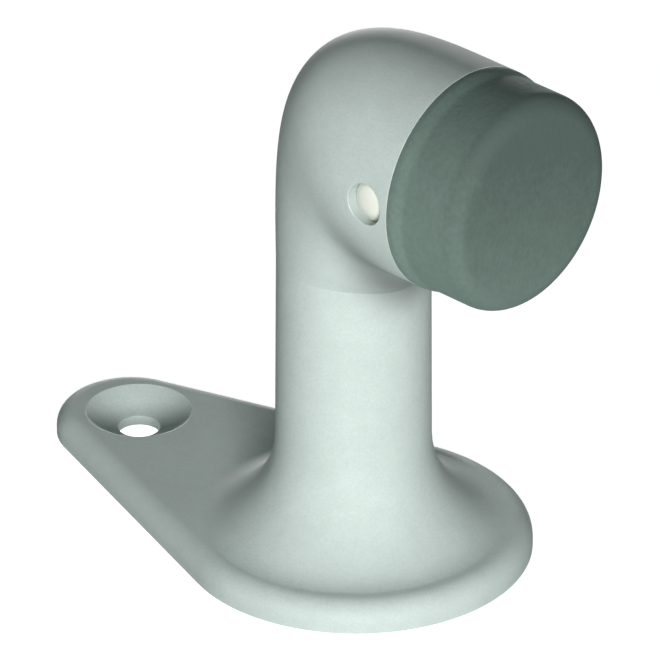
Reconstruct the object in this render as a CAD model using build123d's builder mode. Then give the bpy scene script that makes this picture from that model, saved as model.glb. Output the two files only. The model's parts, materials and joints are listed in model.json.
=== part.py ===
from build123d import *
import os
from math import atan, cos, degrees, radians, sin, sqrt, tan

# Gooseneck floor stop, in millimetres.
# A teardrop foot lies on the floor and carries a round post. The post's head bends over into a level nose,
# which holds a rubber bumper by a stem and a cross pin.
# The origin is on the floor, on the post's axis. The nose points along +X, the foot's tail along -X.

# Foot: the disc's centre lies a little in front of the post's axis
disc_radius = 23.1
disc_offset = 0.5
tail_radius = 9.8
tail_reach = 41.5
foot_thickness = 3.9
foot_edge_radius = 2.7
foot_rim_height = 0.6

# Screw hole in the tail: a cone above a short straight wall
screw_reach = 39.8
screw_radius = 2.8
screw_cone_radius = 7.1
screw_land = 1.4

# Blind fixing hole under the post, tapped for a floor stud
stud_drill_radius = 2.55
stud_depth = 18.0
drill_point_angle = 118.0

# Post, drawn in a little from the foot to the head, with a wide flare that sweeps down to the foot's rim
post_radius = 10.0
post_draft = 0.4
flare_rise = 12.6
flare_margin = 0.1

# Head: a back rail runs from the post up and over the crown. A throat rail leans out of the post and turns
# level under the nose. The half-width grows from the post's to the nose's. A handle is a rail's end tangent.
nose_height = 61.3
nose_radius = 14.9
nose_reach = 20.0
nose_chamfer = 0.3
throat_radius = 3.6
throat_lean = 45.0
back_handle = 32.8
crown_handle = 16.5
side_swell = 1.3

# Bumper: a thin flange slopes down to the pad
flange_thickness = 0.8
flange_slope = 0.8
flange_lip = 0.4
pad_length = 9.5
pad_edge_radius = 2.6
stem_radius = 7.0
stem_length = 11.0
stem_chamfer = 1.0
socket_clearance = 0.1

# Cross pin
pin_radius = 2.7
pin_setback = 3.9
pin_rise = 0.5
pin_recess = 0.6
pin_chamfer = 0.4
pin_clearance = 0.05

# Sizes worked out from the ones above
head_start_height = nose_height - nose_radius - throat_radius
nose_start = post_radius + throat_radius
throat_handle = throat_radius * 4 / 3 * (sqrt(2) - 1)
crown_height = nose_height + nose_radius
pad_radius = nose_radius - flange_lip
flange_end = nose_reach + flange_thickness
pad_start = flange_end + flange_slope
pad_front = pad_start + pad_length
socket_radius = stem_radius + socket_clearance
socket_depth = stem_length + socket_clearance
pin_axis_height = nose_height + pin_rise
pin_half_length = nose_radius - pin_recess
pin_hole_radius = pin_radius + pin_clearance
pin_plane = Plane(origin=(nose_reach - pin_setback, 0, pin_axis_height), z_dir=(0, 1, 0))
nose_plane = Plane(origin=(nose_reach, 0, nose_height), x_dir=(0, 1, 0), z_dir=(1, 0, 0))
screw_cone_angle = 2 * degrees(atan((screw_cone_radius - screw_radius) / (foot_thickness - screw_land)))
foot_edge = min(foot_edge_radius, foot_thickness - foot_rim_height)
flare_edge_radius = disc_radius - disc_offset - foot_edge - flare_margin
flare_top_height = foot_thickness + max(flare_rise, flare_edge_radius - post_radius)
flare_top_radius = post_radius + (head_start_height - flare_top_height) * tan(radians(post_draft))

# Control points of the bend's rails, from the post to the nose
throat_start = Vector(sin(radians(throat_lean)), 0, cos(radians(throat_lean))) * throat_handle
back_rail = [
    Vector(-post_radius, 0, head_start_height),
    Vector(-post_radius, 0, head_start_height + back_handle),
    Vector(nose_start - crown_handle, 0, crown_height),
    Vector(nose_start, 0, crown_height),
]
throat_rail = [
    Vector(post_radius, 0, head_start_height),
    Vector(post_radius, 0, head_start_height) + throat_start,
    Vector(nose_start - throat_handle, 0, head_start_height + throat_radius),
    Vector(nose_start, 0, head_start_height + throat_radius),
]
side_rail = [post_radius, post_radius + side_swell, nose_radius, nose_radius]


def bend_patch(side):
    """Half of the bend's skin: rational Bezier rows, each a half ellipse from the back to the throat rail."""
    rows = []
    for back, throat, half_width in zip(back_rail, throat_rail, side_rail):
        to_side = Vector(0, 2 * half_width * side, 0)
        rows.append([back, back + to_side, throat + to_side, throat])
    return Face.make_bezier_surface(rows, [[1, 1 / 3, 1 / 3, 1]] * len(rows))


# Bend of the head: two halves closed by flat ends at the post and at the nose
bend_skin = ShapeList(bend_patch(side) for side in (1, -1))
bend_rims = bend_skin.edges()
post_end = Face(Wire(bend_rims.group_by(Axis.Z)[0]))
nose_end = Face(Wire(bend_rims.group_by(Axis.X)[-1]))
bend = Solid(Shell([*bend_skin, post_end, nose_end]))

# Cast body: foot, flared post, bent head and nose in one piece
with BuildPart() as cast_body:
    # Teardrop foot with a rounded top edge
    with BuildSketch():
        with Locations((disc_offset, 0)):
            Circle(disc_radius)
        with Locations((-tail_reach, 0)):
            Circle(tail_radius)
        make_hull()
    extrude(amount=foot_thickness)
    fillet(cast_body.faces().sort_by(Axis.Z)[-1].edges(), foot_edge)

    # Post, turned with its flare, which leaves the wall smoothly and meets the foot's top in a faint crease
    with BuildSketch(Plane.XZ):
        with BuildLine():
            wall = Line((post_radius, head_start_height), (flare_top_radius, flare_top_height))
            flare = TangentArc(wall @ 1, (flare_edge_radius, foot_thickness), tangent=wall % 1)
            Polyline(flare @ 1, (flare_edge_radius, 0), (0, 0), (0, head_start_height), wall @ 0)
        make_face()
    revolve(axis=Axis.Z)

    # Bend of the head, from the post to the nose
    add(bend)

    # Level nose with a chamfered rim
    with BuildSketch(Plane.YZ.offset(nose_start)):
        with Locations((0, nose_height)):
            Circle(nose_radius)
    extrude(amount=nose_reach - nose_start)
    chamfer(cast_body.faces().filter_by(Axis.X).sort_by(Axis.X)[-1].edges(), nose_chamfer)

    # Blind socket for the bumper's stem, and the cross hole for its pin
    with Locations(nose_plane):
        Hole(socket_radius, depth=socket_depth)
    with Locations(pin_plane):
        Cylinder(pin_hole_radius, 2 * nose_radius, mode=Mode.SUBTRACT)

    # Countersunk screw hole in the tail
    with Locations((-screw_reach, 0, foot_thickness)):
        CounterSinkHole(screw_radius, screw_cone_radius, counter_sink_angle=screw_cone_angle)

    # Blind fixing hole under the post, with a drill point
    with BuildSketch(Plane.XZ):
        with BuildLine():
            Polyline(
                (0, 0),
                (stud_drill_radius, 0),
                (stud_drill_radius, stud_depth),
                (0, stud_depth + stud_drill_radius / tan(radians(drill_point_angle / 2))),
                close=True,
            )
        make_face()
    revolve(axis=Axis.Z, mode=Mode.SUBTRACT)
cast_body.part.label = "cast_body"

# Rubber bumper, turned about the nose's axis
with BuildPart() as rubber_bumper:
    with BuildSketch(Plane.XZ):
        with BuildLine():
            Polyline(
                (nose_reach - stem_length, nose_height),
                (nose_reach - stem_length, nose_height + stem_radius),
                (nose_reach, nose_height + stem_radius),
                (nose_reach, crown_height),
                (flange_end, crown_height),
                (pad_start, nose_height + pad_radius),
                (pad_front, nose_height + pad_radius),
                (pad_front, nose_height),
                close=True,
            )
        make_face()
    revolve(axis=Axis((0, 0, nose_height), (1, 0, 0)))
    stem_rim, *_, pad_rim = rubber_bumper.edges().filter_by(GeomType.CIRCLE).group_by(Axis.X)
    fillet(pad_rim, pad_edge_radius)
    chamfer(stem_rim, stem_chamfer)
    with Locations(pin_plane):
        Cylinder(pin_hole_radius, 2 * nose_radius, mode=Mode.SUBTRACT)
rubber_bumper.part.label = "rubber_bumper"

# Cross pin with chamfered ends, sunk a little below the nose's flanks
with BuildPart() as retaining_pin:
    with Locations(pin_plane):
        Cylinder(pin_radius, 2 * pin_half_length)
    chamfer(retaining_pin.edges().filter_by(GeomType.CIRCLE), pin_chamfer)
retaining_pin.part.label = "retaining_pin"

os.makedirs("parts", exist_ok=True)
for piece in (cast_body, rubber_bumper, retaining_pin):
    export_step(piece.part, f"parts/{piece.part.label}.step")
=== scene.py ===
"""Gooseneck floor stop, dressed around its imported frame.

The cast body, the rubber bumper and the cross pin are surfaces worked out from a few sizes, in metres, as whole arrays
of points over two parameters. The frame's origin is on the floor on the post's axis, the nose points along +X and +Z
is up.
"""

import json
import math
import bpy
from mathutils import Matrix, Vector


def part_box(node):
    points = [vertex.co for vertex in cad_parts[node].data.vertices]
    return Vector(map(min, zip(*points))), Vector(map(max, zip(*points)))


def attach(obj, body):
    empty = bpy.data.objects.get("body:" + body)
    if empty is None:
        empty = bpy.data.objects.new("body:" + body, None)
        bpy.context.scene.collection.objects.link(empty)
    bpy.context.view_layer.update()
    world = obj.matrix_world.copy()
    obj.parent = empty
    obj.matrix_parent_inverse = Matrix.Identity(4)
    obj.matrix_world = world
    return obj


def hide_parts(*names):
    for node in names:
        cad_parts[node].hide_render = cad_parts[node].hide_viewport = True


bl_info = {
    "name": "Gooseneck floor stop",
    "version": (1, 0, 0),
    "blender": (4, 5, 0),
    "location": "View3D > Sidebar > Floor stop",
    "description": "Builds a cast gooseneck floor stop with its rubber bumper, its cross pin and a studio stage",
    "category": "Add Mesh",
}

from types import SimpleNamespace

import bmesh
import bpy
import numpy as np
from bpy.props import FloatProperty, FloatVectorProperty, PointerProperty
from mathutils import Matrix, Vector

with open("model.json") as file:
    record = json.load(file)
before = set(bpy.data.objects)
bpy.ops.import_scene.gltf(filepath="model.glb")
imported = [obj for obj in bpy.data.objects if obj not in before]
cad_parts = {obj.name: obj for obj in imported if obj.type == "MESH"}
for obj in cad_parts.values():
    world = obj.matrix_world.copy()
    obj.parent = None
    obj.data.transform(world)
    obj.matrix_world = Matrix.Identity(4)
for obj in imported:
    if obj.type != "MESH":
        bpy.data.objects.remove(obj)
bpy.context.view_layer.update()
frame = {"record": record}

# Places that the frame gives
body_low, body_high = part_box("cast_body")
bumper_low, bumper_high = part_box("rubber_bumper")
pin_low, pin_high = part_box("retaining_pin")
pin_middle = (pin_low + pin_high) / 2
pin_radius = (pin_high.x - pin_low.x) / 2
mounts = {mount["name"]: mount for mount in frame["record"]["mounts"]}
MM = 0.001

# Fineness of the meshes
WELD = 1e-6
RUN_STEP = 0.0007
ARC_STEPS = 10
DISC_COLUMNS = 152
NEAR_COLUMNS = 32
FAR_COLUMNS = 20
TAIL_COLUMNS = 64
CHORD_COLUMNS = 40
TURNED_COLUMNS = 256
FLAT_ROWS = 10
BEND_ROWS = 72
NOSE_ROWS = 3
SOCKET_ROWS = 8
PIN_COLUMNS = 96
HOLE_ROWS = 26
HOLE_HALF_COLUMNS = 19
HOLE_MARGIN = 0.0005
RING_ROWS = 6
NEWTON_STEPS = 8
NEWTON_REACH = 1e-5
SHARP_ANGLE = math.radians(35)
WEAR_RADIUS = 0.0003

# Where the crease dips and the lower flanks swell: the share along the bend, and the cosine of the turn from the throat
CREASE_POWER = 4
CHEEK_PEAK = 0.1
CHEEK_END = 0.6
CHEEK_TOP = -0.15
CHEEK_FULL = 0.75

# Painted shade in the hollow under the nose: the control points of its line on one flank, from the throat up
RECESS_LINE = ((0.0104, 0.0, 0.0430), (0.0104, 0.0064, 0.0442), (0.0132, 0.0112, 0.0492), (0.0112, 0.0140, 0.0565))
RECESS_WIDTH = 0.0042
RECESS_FADE = 3
RECESS_STEPS = 40
RECESS_SHADE = 0.32

# Painted shade on the wall of the cross hole: how dark it is painted, and how far past the pin it is looked for
HOLE_PAINTED_SHADE = 0.4
HOLE_REACH = 0.000125

# Patterns of the materials: sizes and depths in metres
CLOUD_SIZE = 0.007
PATCH_SIZE = 0.0022
BLOOM_SIZE = 0.004
STAIN_SIZE = 0.0012
CAST_DEPTH = 0.000006
RUBBER_DEPTH = 0.00003
TURNING_DEPTH = 0.000001
NOISE_ROUGHNESS = 0.55
PIT_START = 0.35
PIT_BLEND = 0.1

# Camera's sensor in millimetres, and its near and far limits
SENSOR_WIDTH = 36.0
NEAR_LIMIT = 0.05
FAR_LIMIT = 20.0


def length(name, default, description):
    """A length that the user can change, in metres."""
    return FloatProperty(name=name, description=description, default=default, min=0.0, precision=5, unit="LENGTH")


def angle(name, degrees, description):
    """An angle that the user can change, its default in degrees."""
    default = math.radians(degrees)
    return FloatProperty(name=name, description=description, default=default, precision=3, subtype="ANGLE")


def power(name, default, description):
    """A lamp's power that the user can change, in watts."""
    return FloatProperty(name=name, description=description, default=default, min=0.0, unit="POWER")


def strength(name, default, description):
    """A strength of light that the user can change. 1 is white."""
    return FloatProperty(name=name, description=description, default=default, min=0.0)


def colour(name, default, description):
    """A surface colour that the user can change."""
    return FloatVectorProperty(
        name=name, description=description, default=default, size=3, min=0.0, max=1.0, subtype="COLOR"
    )


class FLOORSTOP_PG_body(bpy.types.PropertyGroup):
    """Sizes of the cast body."""

    disc_radius: length("Disc radius", 0.0231, "Radius of the foot round the post")
    disc_offset: length("Disc offset", 0.0005, "Distance of the disc's centre in front of the post's axis")
    tail_radius: length("Tail radius", 0.0098, "Radius of the foot's tail")
    foot_thickness: length("Foot thickness", 0.0039, "Height of the foot's flat top")
    foot_edge: length("Foot edge", 0.0027, "Rounding of the foot's top edge")
    cone_radius: length("Countersink radius", 0.0071, "Radius of the screw hole's cone at the top")
    drill_point: length("Drill point", 0.00153, "Depth of the drill point past the stud hole's wall")
    post_radius: length("Post radius", 0.0100, "Radius of the post where the head starts")
    flare_rise: length("Flare rise", 0.0126, "Height of the flare above the foot's flat top")
    flare_blend: length("Flare blend", 0.0055, "Width of the strip where the flare runs out on the foot")
    flare_margin: length("Flare margin", 0.0001, "Least flat width between the flare and the foot's rounded edge")
    nose_radius: length("Nose radius", 0.0149, "Radius of the level nose")
    nose_reach: length("Nose reach", 0.0200, "Distance from the post's axis to the nose's end face")
    throat_radius: length("Throat radius", 0.0036, "Radius of the throat under the nose")
    throat_lean: angle("Throat lean", 45.0, "Lean of the throat rail where it leaves the post")
    back_handle: length("Back handle", 0.0328, "Length of the back rail's tangent at the post")
    crown_handle: length("Crown handle", 0.0165, "Length of the back rail's tangent at the nose")
    side_swell: length("Side swell", 0.0013, "Growth of the half-width's first handle")
    crease_dip: length("Crease dip", 0.0009, "Dip of the crease between post and head, below the throat")
    cheek_swell: length("Cheek swell", 0.0005, "Growth of the lower flanks where they leave the post for the nose")
    nose_chamfer: length("Nose chamfer", 0.00004, "Chamfer of the nose's rim")
    soft_edge: length("Soft edge", 0.00012, "Rounding of the edges that the casting and the drills leave")
    post_draft: angle("Post draft", 0.4, "Slope of the post, which narrows upwards")


class FLOORSTOP_PG_bumper(bpy.types.PropertyGroup):
    """Sizes of the rubber bumper and of the pin that holds it."""

    flange_thickness: length("Flange thickness", 0.0008, "Thickness of the flange against the nose")
    flange_slope: length("Flange slope", 0.0016, "Length of the slope from the flange down to the pad")
    flange_lip: length("Flange lip", 0.0004, "Height of the slope from the flange down to the pad")
    flange_blend: length("Flange blend", 0.0030, "Rounding of both ends of the slope")
    pad_edge: length("Pad edge", 0.0026, "Rounding of the pad's front edge")
    stem_radius: length("Stem radius", 0.0070, "Radius of the stem in the nose's socket")
    stem_chamfer: length("Stem chamfer", 0.0010, "Chamfer of the stem's end")
    socket_clearance: length("Socket clearance", 0.0001, "Room round the stem and behind it")
    pin_clearance: length("Pin clearance", 0.00005, "Room round the pin in its hole")
    pin_dome: length("Pin dome", 0.0011, "Height of the pin's domed ends")


class FLOORSTOP_PG_finish(bpy.types.PropertyGroup):
    """Colours and grain of the three materials."""

    aluminium: colour("Aluminium", (0.695, 0.785, 0.755), "Colour of the cast aluminium")
    rubber: colour("Rubber", (0.195, 0.27, 0.24), "Colour of the rubber")
    steel: colour("Steel", (0.98, 1.0, 0.91), "Colour of the pin")
    cast_grain: length("Cast grain", 0.00035, "Size of the casting's fine grain")
    rubber_grain: length("Rubber grain", 0.0007, "Size of the rubber's moulded grain")
    turning_pitch: length("Turning pitch", 0.00022, "Distance between the rings that turning leaves on the pin")


class FLOORSTOP_PG_stage(bpy.types.PropertyGroup):
    """Camera, lamps and floor."""

    camera_turn: angle("Camera turn", 45.938, "Turn of the camera from the nose's axis")
    camera_rise: angle("Camera rise", 28.980, "Angle of the camera above the floor")
    camera_distance: length("Camera distance", 1.1425, "Distance from the camera to the middle of the stop")
    aim_height: length("Aim height", 0.036843, "Height of the middle of the stop")
    aim_left: length("Aim left", 0.003040, "Shift of the camera's aim to the left")
    aim_down: length("Aim down", 0.004534, "Shift of the camera's aim downwards")
    lens: FloatProperty(name="Lens", description="Focal length for a sensor 36 mm wide", default=484.06, unit="CAMERA")
    key_power: power("Key power", 7.9, "Power of the key lamp")
    key_turn: angle("Key turn", 42.5, "Turn of the key lamp from the nose's axis")
    key_rise: angle("Key rise", 13.5, "Angle of the key lamp above the level of the stop's middle")
    key_height: length("Key height", 0.3, "Height of the key lamp")
    key_tint: colour("Key tint", (1.0, 1.0, 0.99), "Colour of the key lamp")
    back_power: power("Back power", 3.5, "Power of the lamp behind the stop")
    back_rise: angle("Back rise", -0.5, "Angle of the lamp behind the stop above the level of the stop's middle")
    back_height: length("Back height", 0.05, "Height of the lamp behind the stop")
    back_tint: colour("Back tint", (1.0, 0.98, 0.97), "Colour of the lamp behind the stop")
    lamp_distance: length("Lamp distance", 0.9, "Distance from each lamp to the middle of the stop")
    lamp_width: length("Lamp width", 0.3, "Width of each lamp")
    fill: strength("Fill", 0.03, "Strength of the even light from above")
    fill_tint: colour("Fill tint", (0.6, 1.0, 0.97), "Colour of the even light from above")
    fill_below: strength("Fill below", 0.45, "Strength of the even light from below the floor")
    floor_width: length("Floor width", 4.0, "Width of the round floor")
    floor_shade: colour("Floor shade", (0.26, 0.3, 0.29), "Colour of the floor under the lamps")
    floor_glow: strength("Floor glow", 0.98, "Glow of the floor where the camera or a reflection sees it")


class FLOORSTOP_PG_settings(bpy.types.PropertyGroup):
    """All the settings of the floor stop."""

    body: PointerProperty(type=FLOORSTOP_PG_body)
    bumper: PointerProperty(type=FLOORSTOP_PG_bumper)
    finish: PointerProperty(type=FLOORSTOP_PG_finish)
    stage: PointerProperty(type=FLOORSTOP_PG_stage)


# Curves and grids

def soften(corners, radii):
    """A polyline with each corner turned into an arc of its radius.

    An arc touches both runs of its corner, its radius over the tangent of half the corner's angle away from it.
    Runs are cut into short steps.
    """
    corners = np.asarray(corners, float)
    stretches = [corners[:1]]
    for before, corner, after, radius in zip(corners, corners[1:], corners[2:], radii):
        if radius == 0:
            stretches.append(corner[None])
            continue
        back = (before - corner) / np.linalg.norm(before - corner)
        ahead = (after - corner) / np.linalg.norm(after - corner)
        half = math.acos(np.clip(back @ ahead, -1, 1)) / 2
        reach = radius / math.tan(half)
        centre = corner + (back + ahead) / np.linalg.norm(back + ahead) * radius / math.sin(half)
        first = corner + back * reach - centre
        last = corner + ahead * reach - centre
        sweep = math.pi - 2 * half
        share = np.linspace(0, 1, ARC_STEPS + 1)[:, None]
        spokes = np.sin((1 - share) * sweep) * first + np.sin(share * sweep) * last
        stretches.append(centre + spokes / math.sin(sweep))
    stretches.append(corners[-1:])
    runs = [stretches[0]]
    for before, after in zip(stretches, stretches[1:]):
        steps = math.ceil(np.linalg.norm(after[0] - before[-1]) / RUN_STEP)
        share = np.linspace(0, 1, max(steps, 1), endpoint=False)[1:, None]
        runs += [before[-1] + share * (after[0] - before[-1]), after]
    points = np.concatenate(runs)
    apart = np.linalg.norm(np.diff(points, axis=0), axis=1) > WELD
    return points[np.concatenate([[True], apart])]


def turned_on_post(profile, turns):
    """A profile of radius and height turned about the post's axis: x is r cos turn, y is r sin turn."""
    radius, height = profile[:, :1], profile[:, 1:]
    return np.stack(np.broadcast_arrays(radius * np.cos(turns), radius * np.sin(turns), height), axis=-1)


def turned_on_nose(profile, turns, height):
    """A profile of x and radius turned about the nose's axis: y is r sin turn, z falls by r cos turn below the axis."""
    along, radius = profile[:, :1], profile[:, 1:]
    return np.stack(np.broadcast_arrays(along, radius * np.sin(turns), height - radius * np.cos(turns)), axis=-1)


def between(inner, outer, rows):
    """A flat ring: straight spokes from each point of the inner loop to its partner on the outer loop."""
    share = np.linspace(0, 1, rows + 1)[:, None, None]
    return inner + share * (outer - inner)


def ease(share):
    """A smooth step from 0 to 1, level at both ends."""
    return share * share * (3 - 2 * share)


def bezier(controls, along):
    """A cubic Bezier curve: its four controls weighted by the Bernstein shares of along."""
    rest = 1 - along
    shares = np.stack([rest**3, 3 * rest**2 * along, 3 * rest * along**2, along**3], axis=-1)
    return shares @ controls


def find_on(surface, turn, along, x, z):
    """The two parameters of the surface's point at x and z, by Newton's steps from a start near it."""
    for _ in range(NEWTON_STEPS):
        here = surface(turn, along)
        by_turn = (surface(turn + NEWTON_REACH, along) - here) / NEWTON_REACH
        by_along = (surface(turn, along + NEWTON_REACH) - here) / NEWTON_REACH
        miss_x = x - here[..., 0]
        miss_z = z - here[..., 2]
        area = by_turn[..., 0] * by_along[..., 2] - by_turn[..., 2] * by_along[..., 0]
        turn = turn + (miss_x * by_along[..., 2] - miss_z * by_along[..., 0]) / area
        along = along + (by_turn[..., 0] * miss_z - by_turn[..., 2] * miss_x) / area
    return turn, along


def read(items, name, kind, width=1):
    """One property of all of a mesh's items, as an array with a row for each."""
    values = np.empty(width * len(items), kind)
    items.foreach_get(name, values)
    return values.reshape(-1, width) if width > 1 else values


def put(name, data):
    """A new object in the scene, at the origin."""
    made = bpy.data.objects.new(name, data)
    bpy.context.scene.collection.objects.link(made)
    return made


def give(mesh, name, values):
    """Gives each point of a mesh a number that the materials read."""
    mesh.attributes.new(name, "FLOAT", "POINT").data.foreach_set("value", values.astype(np.float32))


def edge_wear(mesh, loop_edges):
    """How sharply each point stands out: 0 where the surface is flat or hollow, 1 at an edge of WEAR_RADIUS or less.

    Across an edge, the turn of the normal over the distance between the two faces' centres is the curvature. A point
    takes the most of its edges.
    """
    sizes = read(mesh.polygons, "loop_total", np.int32)
    normals = read(mesh.polygons, "normal", np.float32, 3)
    centres = read(mesh.polygons, "center", np.float32, 3)
    ends = read(mesh.edges, "vertices", np.int32, 2)
    face_of_loop = np.repeat(np.arange(len(sizes)), sizes)
    one, other = face_of_loop[np.argsort(loop_edges, kind="stable")].reshape(-1, 2).T
    apart = centres[one] - centres[other]
    turned = normals[one] - normals[other]
    curvature = (turned * apart).sum(axis=1) / np.maximum((apart * apart).sum(axis=1), WELD**2)
    wear = np.zeros(len(mesh.vertices))
    np.maximum.at(wear, ends, curvature[:, None] * WEAR_RADIUS)
    return np.minimum(wear, 1.0)


def throat_painted_shade(points):
    """How deep each point lies in the painted shade of the hollow under the nose: 0 to 1.

    It falls off as a bell with the distance from a Bezier curve that follows the hollow, mirrored to both flanks, and
    fades towards the curve's upper end.
    """
    along = np.linspace(0, 1, RECESS_STEPS)
    line = bezier(np.array(RECESS_LINE), along)
    folded = points * (1, 0, 1) + np.abs(points) * (0, 1, 0)
    apart = np.linalg.norm(folded[:, None] - line, axis=-1)
    return (np.exp(-((apart / RECESS_WIDTH) ** 2)) * (1 - along**RECESS_FADE)).max(axis=1)


def hole_painted_shade(points):
    """1 on the cross hole's wall, which is painted with shade as well, and 0 elsewhere."""
    x, _, z = (points - pin_middle).T
    return np.hypot(x, z) < pin_radius + HOLE_REACH


class Skin:
    """A closed mesh made of grids of points, rows by columns, whose shared edges are welded."""

    def __init__(self):
        self.points = []
        self.quads = []
        self.count = 0

    def add(self, grid, keep=None):
        """Adds a grid whose columns close into a ring. keep, where it is given, says which cells stay."""
        rows, columns = grid.shape[:2]
        index = self.count + np.arange(rows * columns).reshape(rows, columns)
        beside = np.roll(index, -1, axis=1)
        quads = np.stack([index[:-1], beside[:-1], beside[1:], index[1:]], axis=-1)
        self.points.append(grid.reshape(-1, 3))
        self.quads.append(quads.reshape(-1, 4) if keep is None else quads[keep])
        self.count += rows * columns

    def add_pierced(self, surface, turns, alongs, first_row, hole, radius):
        """Adds a grid of the surface with a round hole through both flanks, and returns the two rims.

        A block of cells is left out of each flank. A ring of cells fills it: each spoke runs straight in the two
        parameters, from the block's edge to the point of the hole at an even share of its round.
        """
        last_row = first_row + HOLE_ROWS
        keep = np.ones((len(alongs) - 1, len(turns)), bool)
        rims = []
        for side in (1, -1):
            middle = np.abs(turns - side * math.pi / 2).argmin()
            columns = middle + side * np.arange(-HOLE_HALF_COLUMNS, HOLE_HALF_COLUMNS + 1)
            keep[first_row:last_row, columns.min():columns.max()] = False
            rows = np.arange(first_row, last_row + 1)
            near, far = np.full(HOLE_ROWS, columns[0]), np.full(HOLE_ROWS, columns[-1])
            edge_columns = [columns[:-1], far, columns[:0:-1], near]
            across = len(columns) - 1
            edge_rows = [np.full(across, first_row), rows[:-1], np.full(across, last_row), rows[:0:-1]]
            turn = turns[np.concatenate(edge_columns)]
            along = alongs[np.concatenate(edge_rows)]
            angle = math.pi + (HOLE_HALF_COLUMNS - np.arange(len(turn))) * 2 * math.pi / len(turn)
            end_turn, end_along = find_on(
                surface, turn, along, hole.x + radius * np.cos(angle), hole.z + radius * np.sin(angle)
            )
            share = np.linspace(0, 1, RING_ROWS + 1)[:, None]
            ring = surface(turn + share * (end_turn - turn), along + share * (end_along - along))
            self.add(ring)
            rims.append(ring[-1])
        self.add(surface(turns[None], alongs[:, None]), keep)
        return rims

    def piece(self, name, slot, material, creased=None):
        """Welds the grids into one closed piece that stands for its node of the frame.

        creased, where it is given, says which points lie on a crease, whose edges are sharp however little they turn.
        """
        used, quads = np.unique(np.concatenate(self.quads), return_inverse=True)
        mesh = bpy.data.meshes.new(name)
        mesh.from_pydata(np.concatenate(self.points)[used].tolist(), [], quads.reshape(-1, 4).tolist())
        welded = bmesh.new()
        welded.from_mesh(mesh)
        bmesh.ops.remove_doubles(welded, verts=welded.verts, dist=WELD)
        bmesh.ops.recalc_face_normals(welded, faces=welded.faces)
        welded.to_mesh(mesh)
        welded.free()
        edges = read(mesh.loops, "edge_index", np.int32)
        if not (np.bincount(edges, minlength=len(mesh.edges)) == 2).all():
            raise RuntimeError(f"{name} isn't closed: some of its grids don't meet")
        points = read(mesh.vertices, "co", np.float32, 3)
        give(mesh, "wear", edge_wear(mesh, edges))
        # Painted shade: how far the colour is darkened in the hollow under the nose and on the cross hole's wall
        give(mesh, "recess", np.maximum(throat_painted_shade(points), HOLE_PAINTED_SHADE * hole_painted_shade(points)))
        mesh.shade_smooth()
        mesh.set_sharp_from_angle(angle=SHARP_ANGLE)
        if creased:
            ends = read(mesh.edges, "vertices", np.int32, 2)
            sharp = read(mesh.edges, "use_edge_sharp", bool)
            mesh.edges.foreach_set("use_edge_sharp", sharp | creased(points)[ends].all(axis=1))
        mesh.materials.append(material)
        made = put(name, mesh)
        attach(made, "root")
        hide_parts(name.removesuffix("_skin"))
        return made


# Forms worked out from the sizes

def foot_form(body):
    """The teardrop outline, cut in two by a chord between the flare and the countersink.

    The front run holds the two near sides and the disc's arc, the rear run the two far sides and the tail's arc. Each
    has its points and its outward normals, so the outline inset by d is its points less d times its normals.
    """
    screw = mounts["tail_screw_hole"]
    disc = np.array([body.disc_offset, 0])
    tail = np.array([body_low.x + body.tail_radius, 0])
    screw_x = screw["pos_m"][0]
    flare_edge = body.disc_radius - body.disc_offset - body.foot_edge - body.flare_margin
    lean = math.asin((body.disc_radius - body.tail_radius) / (disc - tail)[0])
    quarter = math.pi / 2 + lean
    upper = np.array([-math.sin(lean), math.cos(lean)])
    lower = upper * (1, -1)

    def arc(centre, radius, start, stop, count):
        angle = np.linspace(start, stop, count, endpoint=False)
        normal = np.stack([np.cos(angle), np.sin(angle)], axis=-1)
        return centre + radius * normal, normal

    def side(normal, start, stop, count):
        share = np.linspace(start, stop, count, endpoint=False)[:, None]
        first = disc + body.disc_radius * normal
        last = tail + body.tail_radius * normal
        return first + share * (last - first), np.repeat(normal[None], count, axis=0)

    chord_x = ((screw_x + body.cone_radius) - flare_edge) / 2
    near_x = (disc + (body.disc_radius - body.foot_edge) * upper)[0]
    far_x = (tail + (body.tail_radius - body.foot_edge) * upper)[0]
    cut = (chord_x - near_x) / (far_x - near_x)
    front = [
        side(lower, cut, 0, NEAR_COLUMNS),
        arc(disc, body.disc_radius, -quarter, quarter, DISC_COLUMNS),
        side(upper, 0, cut, NEAR_COLUMNS),
    ]
    rear = [
        side(upper, cut, 1, FAR_COLUMNS),
        arc(tail, body.tail_radius, quarter, 2 * math.pi - quarter, TAIL_COLUMNS),
        side(lower, 1, cut, FAR_COLUMNS),
    ]
    return SimpleNamespace(
        front=[np.concatenate(part) for part in zip(*front)],
        rear=[np.concatenate(part) for part in zip(*rear)],
        flare_edge=flare_edge,
        screw_x=screw_x,
        screw_radius=screw["dims"]["r_mm"] * MM,
        screw_land=screw["dims"]["length_mm"] * MM,
    )


def head_start(body):
    """Height where the post ends and the head starts to bend."""
    return body_high.z - 2 * body.nose_radius - body.throat_radius


def nose_axis(body):
    """Height of the nose's axis."""
    return body_high.z - body.nose_radius


def crease_height(body, turn):
    """Height of the crease between post and head: level round the back, and dipping by a cosine's power in front."""
    return head_start(body) - body.crease_dip * np.clip(np.cos(turn), 0, 1) ** CREASE_POWER


def on_crease(body, points):
    """Which points lie on the crease between post and head."""
    x, y, z = points.T
    near = np.abs(np.hypot(x, y) - body.post_radius) < NEWTON_REACH
    return near & (np.abs(z - crease_height(body, np.arctan2(y, x))) < NEWTON_REACH)


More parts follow.
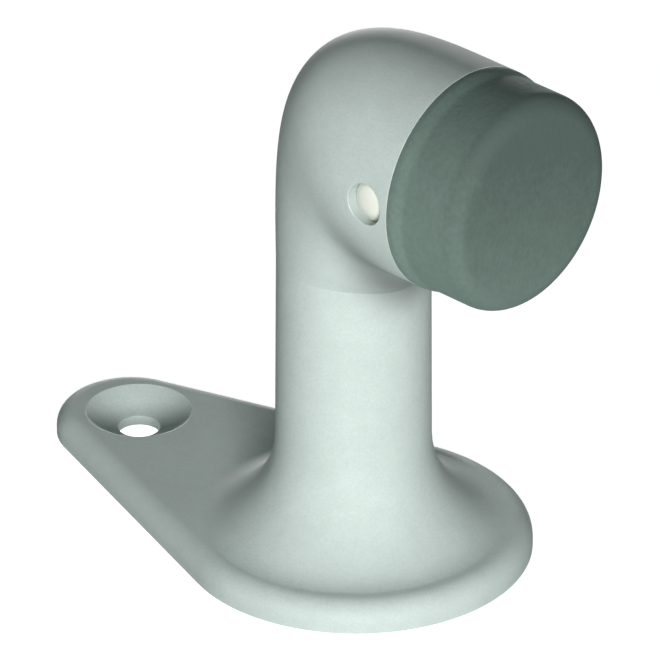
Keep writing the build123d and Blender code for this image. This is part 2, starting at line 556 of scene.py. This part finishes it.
def post_profile(body, foot):
    """The post's drawn wall above an arc that leaves it smoothly and runs out on the foot's flat top.

    The tangents at the arc's two ends meet at equal distances from them, in the corner that the arc rounds off. Near
    the foot, the arc's height is scaled by a parabola of the distance from its edge, so that it ends level.
    """
    top = np.array([body.post_radius, head_start(body)])
    edge = np.array([foot.flare_edge, body.foot_thickness])
    down = np.array([math.sin(body.post_draft), -math.cos(body.post_draft)])
    drop = top[1] - edge[1] - body.flare_rise
    wall_end = top + down * drop / math.cos(body.post_draft)
    chord = edge - wall_end
    reach = chord @ chord / (2 * down @ chord)
    corner = wall_end + down * reach
    half = math.acos((corner - edge) @ down / reach) / 2
    profile = soften([edge, corner, top], [reach * math.tan(half)])
    share = np.clip((edge[0] - profile[:, 0]) / body.flare_blend, 0, 1)
    profile[:, 1] = edge[1] + (profile[:, 1] - edge[1]) * share * (2 - share)
    return profile


def foot_loops(foot, inset, height):
    """The loop round the post's part of the foot and the loop round the screw's part, at an inset and a height."""
    front, rear = (points - inset * normals for points, normals in (foot.front, foot.rear))
    share = np.linspace(0, 1, CHORD_COLUMNS, endpoint=False)[:, None]
    chord = front[:1] - rear[:1]
    post_loop = np.concatenate([front, rear[:1] + share * chord])
    screw_loop = np.concatenate([rear, front[:1] - share * chord])
    return (np.insert(loop, 2, height, axis=1) for loop in (post_loop, screw_loop))


def head_surface(body):
    """The head as a function of the turn round its section and the way along it.

    Along runs from 0 at the post to 1 at the nose, and past 1 down the level nose. Each section is an ellipse between
    a point of the back rail and a point of the throat rail, with a half-width of its own. All three are cubic Bezier
    curves of along. A turn of 0 is on the throat rail, and half a turn is on the back rail. The lower flanks swell out
    from the crease at the post: a quarter sine takes the swell up, and a smooth step takes it down again at the nose.
    """
    start = head_start(body)
    nose_start = body.post_radius + body.throat_radius
    throat_handle = body.throat_radius * 4 / 3 * (math.sqrt(2) - 1)
    crown = body_high.z
    chin = start + body.throat_radius
    back_x = (-body.post_radius, -body.post_radius, nose_start - body.crown_handle, nose_start)
    back_z = (start, start + body.back_handle, crown, crown)
    lean_x = body.post_radius + throat_handle * math.sin(body.throat_lean)
    lean_z = start + throat_handle * math.cos(body.throat_lean)
    throat_x = (body.post_radius, lean_x, nose_start - throat_handle, nose_start)
    throat_z = (start, lean_z, chin, chin)
    half_width = (body.post_radius, body.post_radius + body.side_swell, body.nose_radius, body.nose_radius)
    rails = np.stack([back_x, back_z, throat_x, throat_z, half_width], axis=-1)
    pace = 3 / 2 * (body.crown_handle + throat_handle)

    def surface(turn, along):
        turn, along = np.broadcast_arrays(turn, along)
        rail = bezier(rails, np.minimum(along, 1.0))
        middle = (rail[..., 0:2] + rail[..., 2:4]) / 2
        to_throat = (rail[..., 2:4] - rail[..., 0:2]) / 2 * np.cos(turn)[..., None]
        x, z = np.moveaxis(middle + to_throat, -1, 0)
        low = np.clip((np.cos(turn) - CHEEK_TOP) / (CHEEK_FULL - CHEEK_TOP), 0, 1)
        rise = np.sin(math.pi / 2 * np.clip(along / CHEEK_PEAK, 0, 1))
        fall = np.clip((CHEEK_END - along) / (CHEEK_END - CHEEK_PEAK), 0, 1)
        y = (rail[..., 4] + body.cheek_swell * ease(low) * rise * ease(fall)) * np.sin(turn)
        z = z - (start - crease_height(body, turn)) * np.clip(1 - along, 0, 1) ** 2
        return np.stack([x + np.maximum(along - 1.0, 0.0) * pace, y, z], axis=-1)

    nose_end = body.nose_reach - body.nose_chamfer
    return surface, 1 + (nose_end - nose_start) / pace


def bore_surface(radius, height):
    """A cylinder about the nose's axis, as a function of the turn round it and of x."""

    def surface(turn, along):
        turn, along = np.broadcast_arrays(turn, along)
        return np.stack([along, radius * np.sin(turn), height - radius * np.cos(turn)], axis=-1)

    return surface


def pin_hole(bumper):
    """Centre and radius of the cross hole, from the pin's box, and the reach of the cells that make room for it."""
    radius = pin_radius + bumper.pin_clearance
    return SimpleNamespace(x=pin_middle.x, z=pin_middle.z, radius=radius, reach=radius + HOLE_MARGIN)


def rows_past_hole(start, stop, first, last, before, after):
    """Rows from start to stop, with the hole's own rows evenly from first to last, and the index of its first row."""
    rows = [
        np.linspace(start, first, before, endpoint=False),
        np.linspace(first, last, HOLE_ROWS, endpoint=False),
        np.linspace(last, stop, after + 1),
    ]
    return np.concatenate(rows), before


# Pieces

def cast_body_skin(body, bumper):
    """The casting: teardrop foot, flared post, bent head and level nose, with its screw, stud, socket and pin holes."""
    skin = Skin()
    foot = foot_form(body)
    edge = body.soft_edge
    top = body.foot_thickness

    # Rim of the foot: the outline inset by the wall's profile
    rim = soften([(edge, 0), (0, 0), (0, top), (body.foot_edge, top)], [edge, body.foot_edge])
    outline, normals = (np.concatenate(parts) for parts in zip(foot.front, foot.rear))
    inset = outline - rim[:, :1, None] * normals
    height = np.broadcast_to(rim[:, 1:, None], (*inset.shape[:2], 1))
    skin.add(np.concatenate([inset, height], axis=-1))

    # Flat top: one ring round the flare and one round the countersink, with the turns that the holes below keep
    post_loop, screw_loop = foot_loops(foot, body.foot_edge, top)
    turns = np.unwrap(np.arctan2(post_loop[:, 1], post_loop[:, 0]))
    screw_turns = np.unwrap(np.arctan2(screw_loop[:, 1], screw_loop[:, 0] - foot.screw_x))
    screw_place = np.array([foot.screw_x, 0, 0])
    screw = soften(
        [
            (body.cone_radius + edge, top),
            (body.cone_radius, top),
            (foot.screw_radius, foot.screw_land),
            (foot.screw_radius, 0),
            (foot.screw_radius + edge, 0),
        ],
        [edge, edge, edge],
    )
    screw_wall = turned_on_post(screw, screw_turns) + screw_place
    post_wall = turned_on_post(post_profile(body, foot), turns)
    flare_top = top + body.flare_rise
    share = np.clip((post_wall[..., 2] - flare_top) / (head_start(body) - flare_top), 0, 1)
    post_wall[..., 2] -= (head_start(body) - crease_height(body, turns)) * share**2
    skin.add(between(post_wall[0], post_loop, FLAT_ROWS))
    skin.add(between(screw_wall[0], screw_loop, FLAT_ROWS))
    skin.add(screw_wall)
    skin.add(post_wall)

    # Flat underside with the screw hole and the blind stud hole
    post_sole, screw_sole = foot_loops(foot, edge, 0.0)
    stud = mounts["stud_hole"]["dims"]
    stud_radius = stud["r_mm"] * MM
    stud_depth = stud["length_mm"] * MM
    stud_hole = soften(
        [(stud_radius + edge, 0), (stud_radius, 0), (stud_radius, stud_depth), (0, stud_depth + body.drill_point)],
        [edge, 0],
    )
    stud_wall = turned_on_post(stud_hole, turns)
    skin.add(between(stud_wall[0], post_sole, FLAT_ROWS))
    skin.add(stud_wall)
    skin.add(between(screw_wall[-1], screw_sole, FLAT_ROWS))

    # Head, pierced through both flanks by the cross hole
    hole = pin_hole(bumper)
    head, nose_end = head_surface(body)
    flank = math.pi / 2
    _, first = find_on(head, flank, 1.0, hole.x - hole.reach, hole.z)
    _, last = find_on(head, flank, 1.0, hole.x + hole.reach, hole.z)
    alongs, first_row = rows_past_hole(0.0, nose_end, first, last, BEND_ROWS, NOSE_ROWS)
    outer_rims = skin.add_pierced(head, turns, alongs, first_row, hole, hole.radius + edge)

    # Nose's chamfered rim, end face and socket, whose wall the cross hole pierces too
    axis = nose_axis(body)
    socket_radius = bumper.stem_radius + bumper.socket_clearance
    socket_end = bumper_low.x - bumper.socket_clearance
    seat = body.nose_reach
    chamfer = body.nose_chamfer
    face = soften(
        [(seat - chamfer, body.nose_radius), (seat, body.nose_radius - chamfer), (seat, socket_radius)], [chamfer]
    )
    skin.add(turned_on_nose(face, turns, axis))
    alongs, first_row = rows_past_hole(
        socket_end, seat, hole.x - hole.reach, hole.x + hole.reach, SOCKET_ROWS, NOSE_ROWS
    )
    socket = bore_surface(socket_radius, axis)
    inner_rims = skin.add_pierced(socket, turns, alongs, first_row, hole, hole.radius)
    skin.add(turned_on_nose(soften([(socket_end, socket_radius), (socket_end, 0)], []), turns, axis))

    # Walls of the cross hole, from the rounded rim on the flank in to the socket
    centre = np.array([hole.x, 0, hole.z])
    angle = np.linspace(0, math.pi / 2, ARC_STEPS + 1)[:, None, None]
    for outer, inner in zip(outer_rims, inner_rims):
        spoke = (outer - centre) * (1, 0, 1) / (hole.radius + edge)
        depth = outer * (0, 1, 0) - np.sign(outer) * (0, 1, 0) * edge * (1 - np.cos(angle))
        rounding = centre + depth + spoke * (hole.radius + edge * (1 - np.sin(angle)))
        skin.add(np.concatenate([rounding, inner[None]]))
    return skin


def bumper_skin(body, bumper):
    """The bumper, turned about the nose's axis: a stem with the pin's cross hole, a thin flange and a round pad."""
    skin = Skin()
    hole = pin_hole(bumper)
    axis = nose_axis(body)
    turns = np.linspace(-math.pi, math.pi, TURNED_COLUMNS, endpoint=False)
    seat = body.nose_reach
    pad_radius = body.nose_radius - bumper.flange_lip
    flange_end = seat + bumper.flange_thickness
    pad_start = flange_end + bumper.flange_slope
    stem_end = bumper_low.x
    shoulder = stem_end + bumper.stem_chamfer
    pad = soften(
        [
            (seat, bumper.stem_radius),
            (seat, body.nose_radius),
            (flange_end, body.nose_radius),
            (pad_start, pad_radius),
            (bumper_high.x, pad_radius),
            (bumper_high.x, 0),
        ],
        [body.nose_chamfer, bumper.flange_blend, bumper.flange_blend, bumper.pad_edge],
    )
    skin.add(turned_on_nose(pad, turns, axis))
    tip_radius = bumper.stem_radius - bumper.stem_chamfer
    tip = soften([(stem_end, 0), (stem_end, tip_radius), (shoulder, bumper.stem_radius)], [0])
    skin.add(turned_on_nose(tip, turns, axis))
    alongs, first_row = rows_past_hole(shoulder, seat, hole.x - hole.reach, hole.x + hole.reach, SOCKET_ROWS, NOSE_ROWS)
    stem = bore_surface(bumper.stem_radius, axis)
    rims = skin.add_pierced(stem, turns, alongs, first_row, hole, hole.radius)
    skin.add(between(*rims, FLAT_ROWS))
    return skin


def pin_skin(bumper):
    """The cross pin, turned about its own axis along Y: a round bar whose ends are low half ellipses."""
    skin = Skin()
    turns = np.linspace(-math.pi, math.pi, PIN_COLUMNS, endpoint=False)
    swing = np.linspace(0, math.pi / 2, 2 * ARC_STEPS + 1)
    across = pin_radius * np.concatenate([np.sin(swing), np.sin(swing[::-1])])[:, None]
    depth = bumper.pin_dome * (1 - np.cos(swing))
    along = np.concatenate([pin_low.y + depth, pin_high.y - depth[::-1]])[:, None]
    x = pin_middle.x + across * np.cos(turns)
    z = pin_middle.z + across * np.sin(turns)
    skin.add(np.stack(np.broadcast_arrays(x, along, z), axis=-1))
    return skin


# Materials

class Wire:
    """A shader socket. Arithmetic on it adds Math nodes, and node() adds any other node to its tree."""

    def __init__(self, tree, socket=None):
        self.tree = tree
        self.socket = socket

    def node(self, kind, settings, inputs, output=0):
        """Adds a node: its settings are set first, then the values or wires of its sockets. Returns one output."""
        made = self.tree.nodes.new(kind)
        for name, value in settings.items():
            setattr(made, name, value)
        for name, value in inputs.items():
            if isinstance(value, Wire):
                self.tree.links.new(value.socket, made.inputs[name])
            else:
                made.inputs[name].default_value = value
        return Wire(self.tree, made.outputs[output] if made.outputs else None)

    def math(self, operation, *values):
        """A Math node on numbers and wires."""
        return self.node("ShaderNodeMath", {"operation": operation}, dict(enumerate(values)))

    def __add__(self, other):
        return self.math("ADD", self, other)

    def __radd__(self, other):
        return self.math("ADD", other, self)

    def __sub__(self, other):
        return self.math("SUBTRACT", self, other)

    def __rsub__(self, other):
        return self.math("SUBTRACT", other, self)

    def __mul__(self, other):
        return self.math("MULTIPLY", self, other)

    def __rmul__(self, other):
        return self.math("MULTIPLY", other, self)

    def __neg__(self):
        return self.math("MULTIPLY", self, -1.0)

    def noise(self, place, size, detail):
        """Noise from about -1 to 1, in lumps of a size given in metres."""
        inputs = {"Vector": place, "Scale": 1 / size, "Detail": detail, "Roughness": NOISE_ROUGHNESS}
        return 2 * self.node("ShaderNodeTexNoise", {}, inputs, "Fac") - 1

    def worn(self, patch):
        """Share of the surface that is rubbed off along the edges, broken up by a patchy noise."""
        sharp = self.node("ShaderNodeAttribute", {"attribute_name": "wear"}, {}, "Fac")
        return self.math("MINIMUM", sharp * (0.6 + 0.5 * patch), 1.0)

    def tint(self, base, share, towards):
        """A colour mixed towards another by a share. The base may be a wire."""
        base = base if isinstance(base, Wire) else (*base, 1.0)
        return self.node("ShaderNodeMix", {"data_type": "RGBA"}, {"Factor": share, 6: base, 7: (*towards, 1.0)}, 2)

    def bump(self, height, depth):
        """A surface normal from a height of about -1 to 1, of a depth in metres."""
        return self.node("ShaderNodeBump", {}, {"Height": height, "Distance": depth, "Strength": 1.0})


def new_material(name):
    """An empty material: its own wire and the wire of its Object coordinates."""
    material = bpy.data.materials.new(name)
    material.use_nodes = True
    material.node_tree.nodes.clear()
    wire = Wire(material.node_tree)
    return material, wire, wire.node("ShaderNodeTexCoord", {}, {}, "Object")


def finish_with(wire, inputs):
    """Ends a material in one Principled shader."""
    shader = wire.node("ShaderNodeBsdfPrincipled", {}, inputs)
    wire.node("ShaderNodeOutputMaterial", {}, {"Surface": shader})


def scaled(shade, factor):
    """A colour made lighter or darker."""
    return tuple(min(channel * factor, 1.0) for channel in shade)


def cast_aluminium(finish):
    """Satin sand-cast aluminium: a fine sandy grain, cloudy patches and small pits, rubbed bright along its edges, with
    painted shade in the hollow under the nose and on the cross hole's wall.
    """
    material, wire, place = new_material("cast_aluminium")
    cloud = wire.noise(place, CLOUD_SIZE, 3.0)
    patch = wire.noise(place, PATCH_SIZE, 2.0)
    grain = wire.noise(place, finish.cast_grain, 2.0)
    pit = wire.math("SMOOTH_MAX", -grain, PIT_START, PIT_BLEND) - PIT_START
    worn = wire.worn(patch)
    shaded = wire.node("ShaderNodeAttribute", {"attribute_name": "recess"}, {}, "Fac")
    share = 0.5 + 0.20 * cloud + 0.14 * patch + 0.30 * grain - 0.5 * pit
    rough = wire.tint(scaled(finish.aluminium, 0.84), share, scaled(finish.aluminium, 1.16))
    # Painted shade: the colour falls towards RECESS_SHADE times the aluminium in the hollow under the nose and on the
    # cross hole's wall
    skin = wire.tint(rough, shaded, scaled(finish.aluminium, RECESS_SHADE))
    inputs = {
        "Base Color": wire.tint(skin, worn, finish.aluminium),
        "Metallic": 0.25 * worn,
        "Roughness": 0.62 + 0.07 * grain - 0.22 * worn,
        "Specular IOR Level": 0.1,
        "Normal": wire.bump(grain + 1.5 * patch + 2.0 * cloud - pit, CAST_DEPTH),
    }
    finish_with(wire, inputs)
    return material


def grey_rubber(finish, body, bumper):
    """Matt moulded rubber: a soft dimpled grain under a pale uneven bloom.

    Painted light and shade lie over the random bloom: the colour is lighter low down, and darker on the front, most of
    all along its rounded edge and towards +Y.
    """
    material, wire, place = new_material("grey_rubber")
    bloom = wire.noise(place, BLOOM_SIZE, 3.0)
    grain = wire.noise(place, finish.rubber_grain, 2.0)
    along, across, height = (wire.node("ShaderNodeSeparateXYZ", {}, {0: place}, way) for way in "XYZ")
    axis = nose_axis(body)
    span = {"Value": along, "From Min": bumper_high.x - 1.2 * bumper.pad_edge, "From Max": bumper_high.x}
    front = wire.node("ShaderNodeMapRange", {"interpolation_type": "SMOOTHSTEP"}, span)
    # Painted light: the colour grows lighter the further below the nose's axis
    low = (axis - height) * (1 / body.nose_radius)
    edge = 4 * front * (1 - front)
    # Painted shade: the front face is darker, more so towards +Y, and darker still along its rounded edge
    rubbed = front * (0.45 + 0.11 * across * (1 / body.nose_radius)) + 0.20 * edge
    share = 0.60 - rubbed + 0.34 * low + 0.10 * bloom + 0.16 * grain
    inputs = {
        "Base Color": wire.tint(scaled(finish.rubber, 0.55), share, scaled(finish.rubber, 1.35)),
        "Roughness": 0.74 + 0.08 * grain - 0.06 * edge,
        "Specular IOR Level": 0.12,
        "Normal": wire.bump(grain + bloom, RUBBER_DEPTH),
    }
    finish_with(wire, inputs)
    return material


def bright_steel(finish):
    """Bright turned steel: fine rings round the pin's axis, faint stains, and edges rubbed smooth."""
    material, wire, place = new_material("bright_steel")
    from_axis = wire.node("ShaderNodeMapping", {}, {"Vector": place, "Location": -pin_middle})
    across = wire.node("ShaderNodeVectorMath", {"operation": "MULTIPLY"}, {0: from_axis, 1: (1, 0, 1)})
    radius = wire.node("ShaderNodeVectorMath", {"operation": "LENGTH"}, {0: across}, "Value")
    ring = wire.math("SINE", radius * (2 * math.pi / finish.turning_pitch))
    stain = wire.noise(place, STAIN_SIZE, 3.0)
    worn = wire.worn(stain)
    share = 0.5 + 0.2 * ring + 0.35 * stain
    inputs = {
        "Base Color": wire.tint(scaled(finish.steel, 0.86), share, finish.steel),
        "Metallic": 0.3,
        "Roughness": 0.40 + 0.08 * stain - 0.12 * worn,
        "Normal": wire.bump(ring, TURNING_DEPTH),
    }
    finish_with(wire, inputs)
    return material


# Stage

def stage_shader(wire, strength, lit):
    """White for the camera and in reflections, on top of the plain lit shader."""
    rays = ("Is Camera Ray", "Is Glossy Ray", "Is Transmission Ray")
    direct, reflected, passed = (wire.node("ShaderNodeLightPath", {}, {}, ray) for ray in rays)
    seen = wire.math("MAXIMUM", direct, wire.math("MAXIMUM", reflected, passed))
    glow = wire.node("ShaderNodeEmission", {}, {"Color": seen * strength})
    return wire.node("ShaderNodeAddShader", {}, {0: glow, 1: lit})


def make_floor(stage, foot):
    """A white floor that shows the shadow, and is seen from above only.

    It is a flat ring from the foot's outline to a wide circle, and leaves the foot's underside open.
    """
    inner = np.concatenate([foot.front[0], foot.rear[0]])
    outer = stage.floor_width / 2 * inner / np.linalg.norm(inner, axis=1, keepdims=True)
    count = len(inner)
    first = np.arange(count)
    after = np.roll(first, -1)
    mesh = bpy.data.meshes.new("floor")
    mesh.from_pydata(
        np.insert(np.concatenate([inner, outer]), 2, 0, axis=1).tolist(),
        [],
        np.stack([first, first + count, after + count, after], axis=-1).tolist(),
    )
    material, wire, _ = new_material("white_floor")
    lit = wire.node("ShaderNodeBsdfDiffuse", {}, {"Color": (*stage.floor_shade, 1)})
    white = stage_shader(wire, stage.floor_glow, lit)
    behind = wire.node("ShaderNodeNewGeometry", {}, {}, "Backfacing")
    clear = wire.node("ShaderNodeBsdfTransparent", {}, {})
    shown = wire.node("ShaderNodeMixShader", {}, {0: behind, 1: white, 2: clear})
    wire.node("ShaderNodeOutputMaterial", {}, {"Surface": shown})
    mesh.materials.append(material)
    put("floor", mesh)


def make_world(stage):
    """Even light, stronger from below the floor, and white where the camera or a reflection sees past the floor."""
    world = bpy.data.worlds.new("studio")
    world.use_nodes = True
    world.node_tree.nodes.clear()
    wire = Wire(world.node_tree)
    way = wire.node("ShaderNodeTexCoord", {}, {}, "Generated")
    below = wire.math("LESS_THAN", wire.node("ShaderNodeSeparateXYZ", {}, {0: way}, "Z"), 0.0)
    upper = wire.node("ShaderNodeBackground", {}, {"Color": (*stage.fill_tint, 1), "Strength": stage.fill})
    lower = wire.node("ShaderNodeBackground", {}, {"Color": (1, 1, 1, 1), "Strength": stage.fill_below})
    even = wire.node("ShaderNodeMixShader", {}, {0: below, 1: upper, 2: lower})
    shader = stage_shader(wire, 1.0, even)
    wire.node("ShaderNodeOutputWorld", {}, {"Surface": shader})
    bpy.context.scene.world = world


def toward(turn, rise):
    """The direction at a turn from the nose's axis to the right-hand side and a rise above the floor."""
    return Vector((math.cos(turn) * math.cos(rise), -math.sin(turn) * math.cos(rise), math.sin(rise)))


def aimed(place, target):
    """A matrix at a place whose -Z axis points at the target, with its Y axis upwards."""
    return Matrix.Translation(place) @ (target - place).to_track_quat("-Z", "Y").to_matrix().to_4x4()


def make_camera(stage):
    """The camera at the photograph's angle: it looks past the stop's middle by a small shift of its aim."""
    middle = Vector((0, 0, stage.aim_height))
    place = middle + stage.camera_distance * toward(stage.camera_turn, stage.camera_rise)
    right = Vector((math.sin(stage.camera_turn), math.cos(stage.camera_turn), 0))
    up = right.cross(middle - place).normalized()
    camera = bpy.data.cameras.new("camera")
    camera.lens = stage.lens
    camera.sensor_width = SENSOR_WIDTH
    camera.clip_start = NEAR_LIMIT
    camera.clip_end = FAR_LIMIT
    made = put("camera", camera)
    made.matrix_world = aimed(place, middle - stage.aim_left * right - stage.aim_down * up)
    bpy.context.scene.camera = made


def make_lamp(stage, name, turn, rise, height, power, tint):
    """A soft lamp that points at the stop's middle."""
    light = bpy.data.lights.new(name, "AREA")
    light.shape = "RECTANGLE"
    light.size = stage.lamp_width
    light.size_y = height
    light.energy = power
    light.color = tint
    middle = Vector((0, 0, body_high.z / 2))
    put(name, light).matrix_world = aimed(middle + stage.lamp_distance * toward(turn, rise), middle)


# Operators and panel

class FLOORSTOP_OT_cast_body(bpy.types.Operator):
    """Build the cast body with its holes, in cast aluminium"""

    bl_idname = "floor_stop.cast_body"
    bl_label = "Cast body"
    bl_options = {"REGISTER", "UNDO"}

    def execute(self, context):
        settings = context.scene.floor_stop
        skin = cast_body_skin(settings.body, settings.bumper)
        material = cast_aluminium(settings.finish)
        skin.piece("cast_body_skin", "cast_aluminium", material, lambda points: on_crease(settings.body, points))
        return {"FINISHED"}


class FLOORSTOP_OT_rubber_bumper(bpy.types.Operator):
    """Build the rubber bumper with its flange, pad and stem"""

    bl_idname = "floor_stop.rubber_bumper"
    bl_label = "Rubber bumper"
    bl_options = {"REGISTER", "UNDO"}

    def execute(self, context):
        settings = context.scene.floor_stop
        skin = bumper_skin(settings.body, settings.bumper)
        skin.piece("rubber_bumper_skin", "grey_rubber", grey_rubber(settings.finish, settings.body, settings.bumper))
        return {"FINISHED"}


class FLOORSTOP_OT_retaining_pin(bpy.types.Operator):
    """Build the cross pin that holds the bumper"""

    bl_idname = "floor_stop.retaining_pin"
    bl_label = "Retaining pin"
    bl_options = {"REGISTER", "UNDO"}

    def execute(self, context):
        settings = context.scene.floor_stop
        pin_skin(settings.bumper).piece("retaining_pin_skin", "bright_steel", bright_steel(settings.finish))
        return {"FINISHED"}


class FLOORSTOP_OT_stage(bpy.types.Operator):
    """Set the white floor, the soft lamps and the camera"""

    bl_idname = "floor_stop.stage"
    bl_label = "Studio stage"
    bl_options = {"REGISTER", "UNDO"}

    def execute(self, context):
        stage = context.scene.floor_stop.stage
        make_floor(stage, foot_form(context.scene.floor_stop.body))
        make_world(stage)
        make_camera(stage)
        make_lamp(stage, "key_lamp", stage.key_turn, stage.key_rise, stage.key_height, stage.key_power, stage.key_tint)
        turn = stage.key_turn + math.pi
        make_lamp(stage, "back_lamp", turn, stage.back_rise, stage.back_height, stage.back_power, stage.back_tint)
        context.scene.view_settings.view_transform = "Standard"
        return {"FINISHED"}


class FLOORSTOP_PT_sidebar(bpy.types.Panel):
    """The floor stop's sizes, colours and steps"""

    bl_idname = "FLOORSTOP_PT_sidebar"
    bl_label = "Gooseneck floor stop"
    bl_space_type = "VIEW_3D"
    bl_region_type = "UI"
    bl_category = "Floor stop"

    def draw(self, context):
        settings = context.scene.floor_stop
        for operator in OPERATORS:
            self.layout.operator(operator.bl_idname)
        for group in (settings.body, settings.bumper, settings.finish, settings.stage):
            box = self.layout.box()
            for name in group.__annotations__:
                box.prop(group, name)


OPERATORS = (FLOORSTOP_OT_cast_body, FLOORSTOP_OT_rubber_bumper, FLOORSTOP_OT_retaining_pin, FLOORSTOP_OT_stage)
GROUPS = (FLOORSTOP_PG_body, FLOORSTOP_PG_bumper, FLOORSTOP_PG_finish, FLOORSTOP_PG_stage, FLOORSTOP_PG_settings)
CLASSES = (*GROUPS, *OPERATORS, FLOORSTOP_PT_sidebar)


def register():
    """Adds the classes, and the settings to the scene."""
    for each in CLASSES:
        bpy.utils.register_class(each)
    bpy.types.Scene.floor_stop = PointerProperty(type=FLOORSTOP_PG_settings)


def unregister():
    """Takes the settings and the classes away again."""
    del bpy.types.Scene.floor_stop
    for each in reversed(CLASSES):
        bpy.utils.unregister_class(each)


def main():
    """Builds the pieces and the stage."""
    register()
    bpy.ops.floor_stop.cast_body()
    bpy.ops.floor_stop.rubber_bumper()
    bpy.ops.floor_stop.retaining_pin()
    bpy.ops.floor_stop.stage()


if __name__ == "__main__":
    main()
